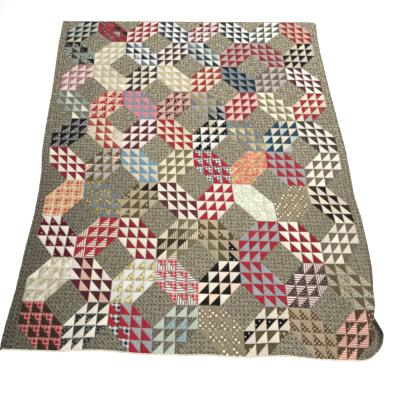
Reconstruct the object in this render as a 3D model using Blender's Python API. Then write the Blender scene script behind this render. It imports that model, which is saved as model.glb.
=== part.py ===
"""A pieced and quilted bed quilt that lies flat, as closed solids with Blender.

Metres, +Z up. The near end of the quilt faces -Y. The centre panel, the two side borders and the
four lengths of edge binding are separate closed sheets, about 0.3 mm apart, and all of them follow
one shared cloth surface, which cloth_point() works out from the flat cloth's own coordinates.
"""
import math

import bmesh
import bpy
import numpy as np

# Driving dimensions of the flat cloth
UNIT = 0.0508                 # side of one sewn square of two triangles, 2 inches
UNITS_PER_BLOCK = 4
BLOCK = UNIT * UNITS_PER_BLOCK
BLOCKS_ACROSS = 8
BLOCKS_ALONG = 10
HALF_WIDTH = BLOCK * BLOCKS_ACROSS / 2
LENGTH = BLOCK * BLOCKS_ALONG
BORDER_WIDTH = 0.039
BINDING_WIDTH = 0.005
GAP = 0.0003                  # clearance between neighbouring pieces
PROBE = 0.0005                # step that finds the cloth's slope

# Thickness
SEAM_THICKNESS = 0.0026       # the sheet along its seams
BORDER_THICKNESS = 0.0030
BINDING_THICKNESS = 0.0036
PILLOW_RISE = 0.0016          # how far each quilted triangle puffs up between its seams

# Where the sewn lines between block rows lie on the surface, from the far end to the near one.
# line: how many blocks from the far end; left and right: the ends of the line, metres
SEAM_COLUMNS = ("line", "left_x", "left_y", "right_x", "right_y")
SEAM_LINES = (
    (0.0, -0.870, 1.001, 0.766, 1.013),
    (1.0, -0.863, 0.814, 0.761, 0.822),
    (2.0, -0.848, 0.619, 0.771, 0.614),
    (3.0, -0.831, 0.413, 0.782, 0.417),
    (4.0, -0.820, 0.206, 0.797, 0.214),
    (5.0, -0.806, 0.008, 0.812, 0.006),
    (6.0, -0.777, -0.194, 0.813, -0.200),
    (7.0, -0.768, -0.399, 0.846, -0.402),
    (8.0, -0.774, -0.610, 0.856, -0.608),
    (9.0, -0.774, -0.818, 0.869, -0.814),
    (10.0, -0.767, -1.022, 0.868, -1.021),
)

# Low folds that stand up from the surface, each a soft ridge.
# x, y: its middle; turn: its direction in degrees from +X; reach: half its length;
# spread: half its width; rise: its height
RIDGE_COLUMNS = ("x", "y", "turn", "reach", "spread", "rise")
RIDGES = (
    (-0.575, 0.330, -66.0, 0.330, 0.075, 0.0065),
    (-0.690, 0.010, 8.0, 0.260, 0.070, 0.0060),
    (-0.385, -0.960, 84.0, 0.230, 0.120, 0.0100),
    (0.085, -0.990, 97.0, 0.160, 0.080, 0.0075),
    (0.425, -0.950, 80.0, 0.260, 0.110, 0.0120),
    (0.560, 0.560, -38.0, 0.300, 0.085, 0.0050),
)

# How the near edge is drawn in where a ridge runs out through it.
# x: middle of the dip; spread: half its width; pull: how far the edge is drawn in
DIP_COLUMNS = ("x", "spread", "pull")
DIPS = (
    (-0.385, 0.200, 0.010),
    (0.085, 0.110, 0.005),
    (0.425, 0.170, 0.011),
)
DIP_DEPTH = 0.300             # how far a dip reaches in from the near edge

# The standing roll along the right edge, from the far end to the near one.
# line: blocks from the far end; crest_in: how far the crest lies in from the panel's edge;
# outer: cloth from the crest down to the foot outside it; crest_draw and foot_draw: how far the
# crest and the foot are drawn in from their flat places; height: the crest's height, metres
ROLL_COLUMNS = ("line", "crest_in", "outer", "crest_draw", "foot_draw", "height")
ROLL_LINES = (
    (6.0, 0.012, 0.046, 0.000, 0.000, 0.000),
    (7.0, 0.012, 0.046, 0.014, 0.016, 0.000),
    (7.5, 0.012, 0.046, 0.014, 0.018, 0.000),
    (8.0, 0.012, 0.046, 0.012, 0.022, 0.012),
    (8.6, 0.012, 0.048, 0.018, 0.046, 0.037),
    (8.9, 0.014, 0.052, 0.024, 0.058, 0.039),
    (9.1, 0.024, 0.056, 0.026, 0.068, 0.038),
    (9.3, 0.042, 0.062, 0.024, 0.052, 0.035),
    (9.5, 0.048, 0.066, 0.024, 0.036, 0.027),
    (9.7, 0.048, 0.066, 0.026, 0.036, 0.016),
    (10.0, 0.048, 0.066, 0.036, 0.050, 0.000),
)
ROLL_INNER = 0.220            # cloth from the foot of the inner slope up to the crest

# Corner rounding where the cloth turns down, as the radius seen from above
NEAR_RIGHT_RADIUS = 0.135
FAR_RIGHT_RADIUS = 0.026
ROUND_START = 0.60            # part of the radius that keeps its flat shape

# The left border spreads wider towards the near corner
LEFT_FLARE = 0.40             # share by which it is wider at the near end
FLARE_LINES = 1.4             # over how many blocks it widens

# How finely the sheets are divided
BORDER_STEPS = 6              # strips across a border
CORNER_FINE = 3               # parts of a unit's length near the rounded corners

# Materials: colour, roughness
MATERIALS = {
    "pieced_cotton": ((0.36, 0.27, 0.22, 1.0), 0.90),
    "print_cotton": ((0.33, 0.29, 0.21, 1.0), 0.92),
    "edge_cotton": ((0.72, 0.66, 0.54, 1.0), 0.88),
}


def smooth_step(t):
    """A soft 0 to 1 step with level ends."""
    t = np.clip(t, 0.0, 1.0)
    return t * t * (3.0 - 2.0 * t)


def bump(t):
    """A soft hill: 1 at t = 0, and 0 from t = 1 outwards."""
    return smooth_step(1.0 - np.abs(t))


def row_value(table, columns, line, column):
    """One column of a table at any line, as a cubic through its rows that never overshoots."""
    rows = np.array(table)
    at = rows[:, 0]
    value = rows[:, columns.index(column)]
    grade = np.diff(value) / np.diff(at)
    before, after = grade[:-1], grade[1:]
    same_way = before * after > 0
    even = 2 * before * after / np.where(same_way, before + after, 1.0)
    slope = np.concatenate((grade[:1], np.where(same_way, even, 0.0), grade[-1:]))
    line = np.asarray(line, float)
    inside = np.clip(line, at[0], at[-1])
    i = np.clip(np.searchsorted(at, inside, side="right") - 1, 0, len(at) - 2)
    step = at[i + 1] - at[i]
    t = (inside - at[i]) / step
    cubic = (
        value[i] * (1 + 2 * t) * (1 - t) ** 2
        + slope[i] * step * t * (1 - t) ** 2
        + value[i + 1] * t * t * (3 - 2 * t)
        - slope[i + 1] * step * t * t * (1 - t)
    )
    beyond = np.where(line < at[0], (line - at[0]) * slope[0], (line - at[-1]) * slope[-1])
    return cubic + np.where((line < at[0]) | (line > at[-1]), beyond, 0.0)


def seam_value(line, column):
    """One column of SEAM_LINES at any line."""
    return row_value(SEAM_LINES, SEAM_COLUMNS, line, column)


def roll_value(line, column):
    """One column of ROLL_LINES at any line; beyond the table its end row holds."""
    rows = np.array(ROLL_LINES)
    line = np.clip(line, rows[0, 0], rows[-1, 0])
    return row_value(ROLL_LINES, ROLL_COLUMNS, line, column)


def round_corner(across, along, edge_across, edge_along, radius):
    """Draw the cloth's corner in to an arc. Both edge values are the corner's own coordinates."""
    toward_x = math.copysign(1.0, edge_across)
    toward_y = 1.0 if edge_along > LENGTH / 2 else -1.0
    dx = (across - (edge_across - toward_x * radius)) * toward_x
    dy = (along - (edge_along - toward_y * radius)) * toward_y
    inside = (dx > 0) & (dy > 0)
    dx = np.where(inside, dx, 0.0)
    dy = np.where(inside, dy, 0.0)
    out = np.hypot(dx, dy)
    limit = radius * np.where(inside, out / np.maximum(np.maximum(dx, dy), 1e-9), 1.0)
    keep = ROUND_START * radius
    drawn = keep + (out - keep) * (radius - keep) / np.maximum(limit - keep, 1e-9)
    scale = np.where(inside & (out > keep), drawn / np.maximum(out, 1e-9), 1.0)
    move_x = dx * (scale - 1.0) * toward_x
    move_y = dy * (scale - 1.0) * toward_y
    return across + move_x, along + move_y


def cloth_point(across, along):
    """Where the flat cloth's point lies: its x, its y and how far its underside is lifted.

    across runs from the middle to the right, along from the far end to the near end, both in
    metres on the flat cloth.
    """
    across = np.asarray(across, float)
    along = np.asarray(along, float)
    edge = HALF_WIDTH + BORDER_WIDTH + BINDING_WIDTH
    end = LENGTH + BINDING_WIDTH
    across, along = round_corner(across, along, edge, end, NEAR_RIGHT_RADIUS)
    across, along = round_corner(across, along, edge, -BINDING_WIDTH, FAR_RIGHT_RADIUS)

    line = along / BLOCK
    part = np.clip((across + HALF_WIDTH) / (2 * HALF_WIDTH), 0.0, 1.0)
    outside = across - np.clip(across, -HALF_WIDTH, HALF_WIDTH)
    flare = LEFT_FLARE * smooth_step(1.0 - (LENGTH - along) / (FLARE_LINES * BLOCK))
    outside = outside * np.where(across < 0, 1.0 + flare, 1.0)
    left_x, right_x = seam_value(line, "left_x"), seam_value(line, "right_x")
    left_y, right_y = seam_value(line, "left_y"), seam_value(line, "right_y")
    x = left_x + (right_x - left_x) * part + outside
    y = left_y + (right_y - left_y) * part

    for dip in DIPS:
        row = dict(zip(DIP_COLUMNS, dip))
        near = smooth_step(1.0 - (LENGTH - along) / DIP_DEPTH)
        y = y + row["pull"] * near * bump((x - row["x"]) / row["spread"])

    lift = np.zeros_like(x)
    for ridge in RIDGES:
        row = dict(zip(RIDGE_COLUMNS, ridge))
        turn = math.radians(row["turn"])
        run = (x - row["x"]) * math.cos(turn) + (y - row["y"]) * math.sin(turn)
        side = (y - row["y"]) * math.cos(turn) - (x - row["x"]) * math.sin(turn)
        lift = lift + row["rise"] * bump(run / row["reach"]) * bump(side / row["spread"])

    from_crest = across - (HALF_WIDTH - roll_value(line, "crest_in"))
    inner = smooth_step(1.0 + from_crest / ROLL_INNER)
    outer = smooth_step(from_crest / roll_value(line, "outer"))
    lift = lift + roll_value(line, "height") * np.where(from_crest < 0, inner, 1.0 - outer)
    crest_draw = roll_value(line, "crest_draw")
    x = x - crest_draw * inner - (roll_value(line, "foot_draw") - crest_draw) * outer
    return x, y, lift


def sheet_points(across_lines, along_lines):
    """The underside's points over a grid of cloth lines, and the cloth's upward normals there."""
    across, along = np.meshgrid(across_lines, along_lines, indexing="ij")
    point = np.stack(cloth_point(across, along), axis=-1)
    to_right = np.stack(cloth_point(across + PROBE, along), axis=-1) - point
    to_near = np.stack(cloth_point(across, along + PROBE), axis=-1) - point
    normal = np.cross(to_near, to_right)
    return point, normal / np.linalg.norm(normal, axis=-1, keepdims=True)


def new_material(name):
    colour, roughness = MATERIALS[name]
    material = bpy.data.materials.new(name)
    material.use_nodes = True
    shader = material.node_tree.nodes["Principled BSDF"]
    shader.inputs["Base Color"].default_value = colour
    shader.inputs["Roughness"].default_value = roughness
    shader.inputs["Metallic"].default_value = 0.0
    return material


def new_object(name, mesh_data, material):
    """Finish a bmesh as one named object with outward faces."""
    bmesh.ops.recalc_face_normals(mesh_data, faces=mesh_data.faces)
    mesh = bpy.data.meshes.new(name)
    mesh_data.to_mesh(mesh)
    mesh_data.free()
    mesh.materials.append(material)
    thing = bpy.data.objects.new(name, mesh)
    bpy.context.collection.objects.link(thing)
    return thing


def sheet_mesh(across_lines, along_lines, thickness, rise=0.0, seam_column=None):
    """A closed sheet over a grid of cloth lines.

    The underside follows the lifted surface, and the top lies one thickness above it along the
    surface's own normal. With a rise, each square cell's top is split along its diagonal, and the
    middle of each half is a raised point. The points of the seam column keep to the straight
    runs between whole units, as the piece on its other side does.
    """
    under, normal = sheet_points(across_lines, along_lines)
    over = under + normal * thickness
    if seam_column is not None:
        for points in (under, over):
            follow_units(points[seam_column], along_lines)
    mesh = bmesh.new()
    low = [[mesh.verts.new(p) for p in column] for column in under]
    high = [[mesh.verts.new(p) for p in column] for column in over]
    columns, rows = len(across_lines), len(along_lines)
    for i in range(columns - 1):
        for j in range(rows - 1):
            corners = (high[i][j], high[i + 1][j], high[i + 1][j + 1], high[i][j + 1])
            if rise:
                falling = (i // UNITS_PER_BLOCK + j // UNITS_PER_BLOCK) % 2 == 1
                raise_cell(mesh, corners, falling, rise)
            else:
                mesh.faces.new(corners[:3])
                mesh.faces.new((corners[0], corners[2], corners[3]))
            below = (low[i][j], low[i][j + 1], low[i + 1][j + 1], low[i + 1][j])
            mesh.faces.new(below[:3])
            mesh.faces.new((below[0], below[2], below[3]))
    ring = [(i, 0) for i in range(columns)]
    ring += [(columns - 1, j) for j in range(1, rows)]
    ring += [(i, rows - 1) for i in range(columns - 2, -1, -1)]
    ring += [(0, j) for j in range(rows - 2, 0, -1)]
    for (i, j), (k, m) in zip(ring, ring[1:] + ring[:1]):
        close_wall(mesh, low[i][j], low[k][m], high[k][m], high[i][j])
    return mesh


def close_wall(mesh, low_start, low_stop, high_stop, high_start):
    """Close one stretch of a sheet's side, split along the diagonal that lies deeper in it.

    A twisted stretch then never bulges into the clearance to the piece beside it.
    """
    run = low_stop.co - low_start.co + high_stop.co - high_start.co
    rise = high_start.co - low_start.co + high_stop.co - low_stop.co
    outward = rise.cross(run)
    bulge = low_start.co + high_stop.co - low_stop.co - high_start.co
    if bulge.dot(outward) < 0:
        mesh.faces.new((low_start, low_stop, high_stop))
        mesh.faces.new((low_start, high_stop, high_start))
    else:
        mesh.faces.new((low_start, low_stop, high_start))
        mesh.faces.new((low_stop, high_stop, high_start))


def follow_units(points, along_lines):
    """Straighten one column of points between the lines that lie on whole units."""
    units = along_lines / UNIT
    whole = np.abs(units - np.round(units)) < 1e-6
    for k in range(3):
        points[:, k] = np.interp(along_lines, along_lines[whole], points[whole, k])


def raise_cell(mesh, corners, falling, rise):
    """Split one square into its two sewn triangles and puff each of them up."""
    a, b, c, d = corners
    halves = ((a, b, c), (a, c, d)) if falling else ((a, b, d), (b, c, d))
    for half in halves:
        middle = (half[0].co + half[1].co + half[2].co) / 3.0
        peak = mesh.verts.new((middle.x, middle.y, middle.z + rise))
        for start, stop in ((0, 1), (1, 2), (2, 0)):
            mesh.faces.new((half[start], half[stop], peak))


def make_centre(material):
    """The pieced centre panel, with one raised point for each sewn triangle."""
    across = np.linspace(-HALF_WIDTH, HALF_WIDTH, BLOCKS_ACROSS * UNITS_PER_BLOCK + 1)
    along = np.linspace(0.0, LENGTH, BLOCKS_ALONG * UNITS_PER_BLOCK + 1)
    mesh = sheet_mesh(across, along, SEAM_THICKNESS, PILLOW_RISE)
    return new_object("pieced_centre", mesh, material)


def long_lines():
    """Lines along the quilt's length, with extra ones where the corners are rounded."""
    lines = list(np.linspace(0.0, LENGTH, BLOCKS_ALONG * UNITS_PER_BLOCK + 1))
    for start in (LENGTH - 2 * UNIT, LENGTH - UNIT, 0.0):
        lines += [start + UNIT * k / CORNER_FINE for k in range(1, CORNER_FINE)]
    return np.array(sorted(lines))


def border_lines():
    """Lines across a border, from its seam to its outer edge, as on the right side."""
    return np.linspace(HALF_WIDTH + GAP, HALF_WIDTH + BORDER_WIDTH, BORDER_STEPS + 1)


def make_border(name, side, material):
    """One side border. side is -1 for the left and 1 for the right."""
    across = np.sort(border_lines() * side)
    seam = 0 if side > 0 else BORDER_STEPS
    mesh = sheet_mesh(across, long_lines(), BORDER_THICKNESS, seam_column=seam)
    return new_object(name, mesh, material)


def make_side_binding(name, side, material):
    """The binding along one long edge, over the full length with its two corners."""
    inner = HALF_WIDTH + BORDER_WIDTH + GAP
    outer = HALF_WIDTH + BORDER_WIDTH + BINDING_WIDTH
    across = np.sort(np.array((inner, (inner + outer) / 2, outer)) * side)
    along = np.concatenate(([-BINDING_WIDTH], long_lines(), [LENGTH + BINDING_WIDTH]))
    return new_object(name, sheet_mesh(across, along, BINDING_THICKNESS), material)


def make_end_binding(name, far, material):
    """The binding along one short end, between the two long ones."""
    if far:
        along = np.array((-BINDING_WIDTH, -BINDING_WIDTH / 2, -GAP))
    else:
        along = LENGTH + np.array((GAP, BINDING_WIDTH / 2, BINDING_WIDTH))
    units = np.linspace(-HALF_WIDTH, HALF_WIDTH, BLOCKS_ACROSS * UNITS_PER_BLOCK + 1)
    across = np.concatenate((-border_lines()[::-1], units, border_lines()))
    return new_object(name, sheet_mesh(across, along, BINDING_THICKNESS), material)


def rest_at_origin(things):
    """Move every piece by one amount so that the whole stands at the origin, bottom and centre."""
    corners = np.array([tuple(v.co) for thing in things for v in thing.data.vertices])
    low = corners.min(axis=0)
    high = corners.max(axis=0)
    shift = np.array(((low[0] + high[0]) / 2, (low[1] + high[1]) / 2, low[2]))
    for thing in things:
        points = np.empty(len(thing.data.vertices) * 3)
        thing.data.vertices.foreach_get("co", points)
        thing.data.vertices.foreach_set("co", (points.reshape(-1, 3) - shift).ravel())
        thing.data.update()


def main():
    for old in list(bpy.data.objects):
        bpy.data.objects.remove(old, do_unlink=True)
    pieced = new_material("pieced_cotton")
    printed = new_material("print_cotton")
    edging = new_material("edge_cotton")
    things = [
        make_centre(pieced),
        make_border("border_left", -1, printed),
        make_border("border_right", 1, printed),
        make_side_binding("binding_left", -1, edging),
        make_side_binding("binding_right", 1, edging),
        make_end_binding("binding_far", True, edging),
        make_end_binding("binding_near", False, edging),
    ]
    rest_at_origin(things)


main()
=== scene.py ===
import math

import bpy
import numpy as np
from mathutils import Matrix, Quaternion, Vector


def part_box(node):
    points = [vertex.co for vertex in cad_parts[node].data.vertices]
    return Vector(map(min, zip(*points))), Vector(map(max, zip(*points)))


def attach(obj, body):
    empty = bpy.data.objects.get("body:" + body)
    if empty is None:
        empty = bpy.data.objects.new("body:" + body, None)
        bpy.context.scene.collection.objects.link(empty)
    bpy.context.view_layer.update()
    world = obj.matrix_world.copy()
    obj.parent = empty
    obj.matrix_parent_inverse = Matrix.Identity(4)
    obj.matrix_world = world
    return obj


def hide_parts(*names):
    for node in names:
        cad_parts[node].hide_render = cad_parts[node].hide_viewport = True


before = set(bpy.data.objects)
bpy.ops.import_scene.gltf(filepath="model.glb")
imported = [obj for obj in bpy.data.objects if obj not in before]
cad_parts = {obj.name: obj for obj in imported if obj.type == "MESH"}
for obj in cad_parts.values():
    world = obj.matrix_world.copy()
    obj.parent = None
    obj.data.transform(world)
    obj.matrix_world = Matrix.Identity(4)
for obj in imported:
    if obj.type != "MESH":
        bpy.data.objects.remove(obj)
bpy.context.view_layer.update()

# The looks of a pieced cotton quilt: printed patches, quilted relief, borders, back and binding.
#
# Every cloth follows one surface. A point of the flat cloth is named by two lengths in metres:
# across, from the middle to the right, and along, from the far end to the near one. A line counts
# blocks along, from 0 at the far end to 10 at the near one.

# Flat cloth, as in the solids
UNIT = 0.0508
UNITS_PER_BLOCK = 4
BLOCK = UNIT * UNITS_PER_BLOCK
BLOCKS_ACROSS = 8
BLOCKS_ALONG = 10
HALF_WIDTH = BLOCK * BLOCKS_ACROSS / 2
LENGTH = BLOCK * BLOCKS_ALONG
BORDER_WIDTH = 0.039
BINDING_WIDTH = 0.005
SEAM_THICKNESS = 0.0026
BINDING_THICKNESS = 0.0036

# How the cloth lies, as in the solids
SEAM_COLUMNS = ("line", "left_x", "left_y", "right_x", "right_y")
SEAM_LINES = (
    (0.0, -0.870, 1.001, 0.766, 1.013),
    (1.0, -0.863, 0.814, 0.761, 0.822),
    (2.0, -0.848, 0.619, 0.771, 0.614),
    (3.0, -0.831, 0.413, 0.782, 0.417),
    (4.0, -0.820, 0.206, 0.797, 0.214),
    (5.0, -0.806, 0.008, 0.812, 0.006),
    (6.0, -0.777, -0.194, 0.813, -0.200),
    (7.0, -0.768, -0.399, 0.846, -0.402),
    (8.0, -0.774, -0.610, 0.856, -0.608),
    (9.0, -0.774, -0.818, 0.869, -0.814),
    (10.0, -0.767, -1.022, 0.868, -1.021),
)
RIDGE_COLUMNS = ("x", "y", "turn", "reach", "spread", "rise")
RIDGES = (
    (-0.575, 0.330, -66.0, 0.330, 0.075, 0.0065),
    (-0.690, 0.010, 8.0, 0.260, 0.070, 0.0060),
    (-0.385, -0.960, 84.0, 0.230, 0.120, 0.0100),
    (0.085, -0.990, 97.0, 0.160, 0.080, 0.0075),
    (0.425, -0.950, 80.0, 0.260, 0.110, 0.0120),
    (0.560, 0.560, -38.0, 0.300, 0.085, 0.0050),
)
DIP_COLUMNS = ("x", "spread", "pull")
DIPS = (
    (-0.385, 0.200, 0.010),
    (0.085, 0.110, 0.005),
    (0.425, 0.170, 0.011),
)
DIP_DEPTH = 0.300
ROLL_COLUMNS = ("line", "crest_in", "outer", "crest_draw", "foot_draw", "height")
ROLL_LINES = (
    (6.0, 0.012, 0.046, 0.000, 0.000, 0.000),
    (7.0, 0.012, 0.046, 0.014, 0.016, 0.000),
    (7.5, 0.012, 0.046, 0.014, 0.018, 0.000),
    (8.0, 0.012, 0.046, 0.012, 0.022, 0.012),
    (8.6, 0.012, 0.048, 0.018, 0.046, 0.037),
    (8.9, 0.014, 0.052, 0.024, 0.058, 0.039),
    (9.1, 0.024, 0.056, 0.026, 0.068, 0.038),
    (9.3, 0.042, 0.062, 0.024, 0.052, 0.035),
    (9.5, 0.048, 0.066, 0.024, 0.036, 0.027),
    (9.7, 0.048, 0.066, 0.026, 0.036, 0.016),
    (10.0, 0.048, 0.066, 0.036, 0.050, 0.000),
)
ROLL_INNER = 0.220
NEAR_RIGHT_RADIUS = 0.135
FAR_RIGHT_RADIUS = 0.026
ROUND_START = 0.60
LEFT_FLARE, FLARE_LINES = 0.40, 1.4

# Relief of the cloth, metres
CELLS = 12             # grid cells along one side of a sewn unit
PUFF = 0.0032          # height of a puffed patch above its seams
PUFF_REACH = 0.0110    # how far from a seam the puff takes to rise
PUFFS = 0.75, 1.2      # least and most share of the puff from patch to patch
GROUND_PUFF = 0.70     # share of that on the background print
BORDER_PUFF = 0.75     # share of the puff on the borders
CRUMPLE = 0.00035      # height of the fine unevenness of the top
BORDER_COLUMNS = 12    # grid points across a border
BACK_COLUMNS, BACK_ROWS = 205, 241  # grid points of the back
BACK_OVERHANG = 0.001  # how far the back reaches under the binding
PROBE = 0.0005         # step that finds the cloth's slope
FLOOR_GAP = 0.0004     # from the cloth down to the floor
FLOOR_HALF = 9.0       # half the floor's side

# Binding, metres
TAPE_STEP = 0.006      # from one oval to the next
TAPE_SIDES = 14        # points around an oval
TAPE_POWER = 0.7       # makes the ovals squarer, as 1 leaves them round
TAPE_TUCK = 0.0012     # how far the inner side lies over the cloth's edge
TAPE_WANDER = 0.0005   # how far the hand-sewn edge wanders
TAPE_LIFT = 0.0003     # its top stands this much higher
TAPE_ROUND = 0.014     # length of cloth around it

# Sewing, metres
# the ditch and the band near a seam darken the cotton as painted shade
DITCH_REACH = 0.0013   # how far from a seam its dark ditch fades
NEAR_REACH = 0.0080    # how far from a seam its puckers fade
STITCH_OFF = 0.0021    # from a seam to the stitches beside it
STITCH_PITCH = 0.0042  # from one stitch to the next
STITCH_DENT = 0.0003   # how deep a stitch lies
STITCH_FADE = 0.0002, 0.0005  # start and end of its fading, from its middle
THREAD = (226, 216, 196)

# One generator draws the patches' puff, turn and tone, block row by block row
rng = np.random.default_rng(7)
TURN_SPREAD = 0.08     # of the prints, in radians
STRIPE_SPREAD = 0.05   # of the stripes and plaids
TONE_SPREAD = 0.6      # of the patches' tones
TONE_STEP = 0.09       # share of lightness in one step of tone
SCRAP_STEP = 0.137     # metres from one patch's place in its print to the next
SQUARE_STEP = 0.0027   # the same for background squares
SQUARE_TONE = 1.0      # how much those differ in tone

# Tone of the background print, in steps of tone, as the tone function below says: darker toward the
# near end, the sides and the near left corner, with painted shade on the curled right border
FAR_TONE, LINE_DARKENING = 3.4, 0.36
SIDE_MIDDLE, SIDE_REACH, SIDE_DARKENING = 0.1, 0.8, 1.9
NEAR_START, NEAR_LINES, NEAR_DARKENING, NEAR_SIDE_DARKENING = 4.6, 1.8, 1.2, 0.4
CORNER_START, CORNER_DARKENING = 0.2, 0.48
# Painted shade of the curled right border: on its turned-down rim, and on its outer edge beside it
PAINTED_RIM_SHADE = (  # start past the blocks, width, middle line, lines, loss
    (0.002, 0.026, 9.3, 0.9, 7.0),
    (0.020, 0.016, 8.2, 1.0, 3.5),
)

# Camera: point and aim in metres from the quilt's middle, roll in degrees, lens in mm
CAMERA_AT = (0.027, -0.864, 1.4715)
CAMERA_AIM = (-0.0052, -0.2932, 0.0)
CAMERA_ROLL = -1.725
CAMERA_LENS = 27.0
CAMERA_SHIFT = 0.025

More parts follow.
